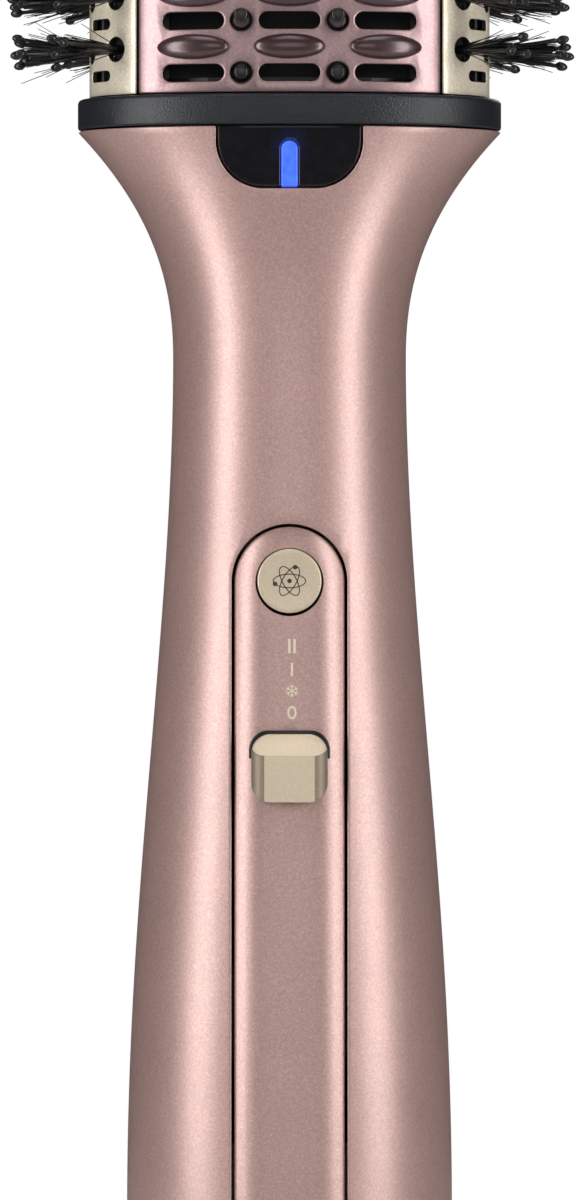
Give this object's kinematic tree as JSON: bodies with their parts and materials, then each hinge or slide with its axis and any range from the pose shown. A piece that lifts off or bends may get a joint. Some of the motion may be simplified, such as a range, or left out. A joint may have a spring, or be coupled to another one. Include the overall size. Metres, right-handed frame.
{
  "type": "hot air brush",
  "caption": "Oval hot air brush: vented front and rear plates, side bristles and pins on a waisted handle with fan, heater, slide switch and push button.",
  "frame": {"origin": "middle of the flat base under the handle", "axes": "+Z along the brush towards the tip of the head, -Y out of the control side, +X to the right when the controls face the viewer"},
  "size_m": [0.0942, 0.0672, 0.3093],
  "materials": {
    "rose_paint": "satin metallic rose paint with a fine flake on moulded plastic",
    "rose_plate": "satin rose ceramic coating on aluminium plate",
    "gold_metal": "fine satin champagne gold",
    "champagne_plastic": "satin champagne metallic paint",
    "charcoal_plastic": "fine grained charcoal plastic",
    "black_frame_plastic": "matte black heat resistant plastic",
    "gloss_black": "polished black",
    "blue_light": "lit blue diffuser",
    "black_nylon": "black nylon",
    "steel": "plain steel",
    "grey_plastic": "grey moulded plastic",
    "potting": "black potting resin in a case",
    "swivel_rubber": "matte black rubber",
    "green_board": "green solder resist",
    "mica_sheet": "layered mica",
    "nichrome": "oxidised resistance wire"
  },
  "bodies": {
    "brush": {"handle_front_shell": "rose_paint", "handle_rear_shell": "rose_paint", "control_strip": "rose_paint", "head_front_panel": "rose_plate", "head_rear_panel": "rose_plate", "head_side_left": "gold_metal", "head_side_right": "gold_metal", "collar_ring": "charcoal_plastic", "head_end_cap": "charcoal_plastic", "base_cap": "charcoal_plastic", "head_frame": "black_frame_plastic", "indicator_window": "gloss_black", "light_pipe": "blue_light", "pin_strip_front_left": "black_nylon", "pin_strip_front_right": "black_nylon", "pin_strip_rear_left": "black_nylon", "pin_strip_rear_right": "black_nylon", "bristle_strip_left_1": "black_nylon", "bristle_strip_left_2": "black_nylon", "bristle_strip_left_3": "black_nylon", "bristle_strip_left_4": "black_nylon", "bristle_strip_right_1": "black_nylon", "bristle_strip_right_2": "black_nylon", "bristle_strip_right_3": "black_nylon", "bristle_strip_right_4": "black_nylon", "handle_screw_lower": "steel", "handle_screw_middle": "steel", "handle_screw_upper": "steel", "inlet_filter": "steel", "motor_body": "steel", "ion_emitter": "steel", "thermostat": "steel", "thermal_fuse": "steel", "swivel_retainer": "grey_plastic", "fan_shroud": "grey_plastic", "motor_cradle": "grey_plastic", "slide_switch": "grey_plastic", "ion_switch": "grey_plastic", "ion_generator": "potting", "control_board": "green_board", "indicator_led_board": "green_board", "heater_sleeve": "mica_sheet", "mica_cross": "mica_sheet", "heater_coil": "nichrome"},
    "ion_button": {"ion_button": "champagne_plastic"},
    "slide_knob": {"slide_knob": "champagne_plastic", "slide_carriage": "black_nylon"},
    "cord_swivel": {"cord_swivel": "swivel_rubber"},
    "rotor": {"fan_impeller": "grey_plastic", "motor_shaft": "steel"}
  },
  "joints": [
    {"name": "ion_button_press", "type": "slide", "parent": "brush", "child": "ion_button", "axis": [0, 1, 0], "range_m": [0, 0.0009], "stiffness_N_per_m": 400, "springref_m": -0.0005},
    {"name": "slide_knob_travel", "type": "slide", "parent": "brush", "child": "slide_knob", "axis": [0, 0.0533, 0.9986], "range_m": [0, 0.0081]},
    {"name": "cord_swivel_turn", "type": "hinge", "parent": "brush", "child": "cord_swivel", "pos_m": [0, 0, 0.004], "axis": [0, 0, 1], "continuous": true},
    {"name": "rotor_spin", "type": "hinge", "parent": "brush", "child": "rotor", "pos_m": [0, 0, 0.03], "axis": [0, 0, 1], "continuous": true}
  ]
}
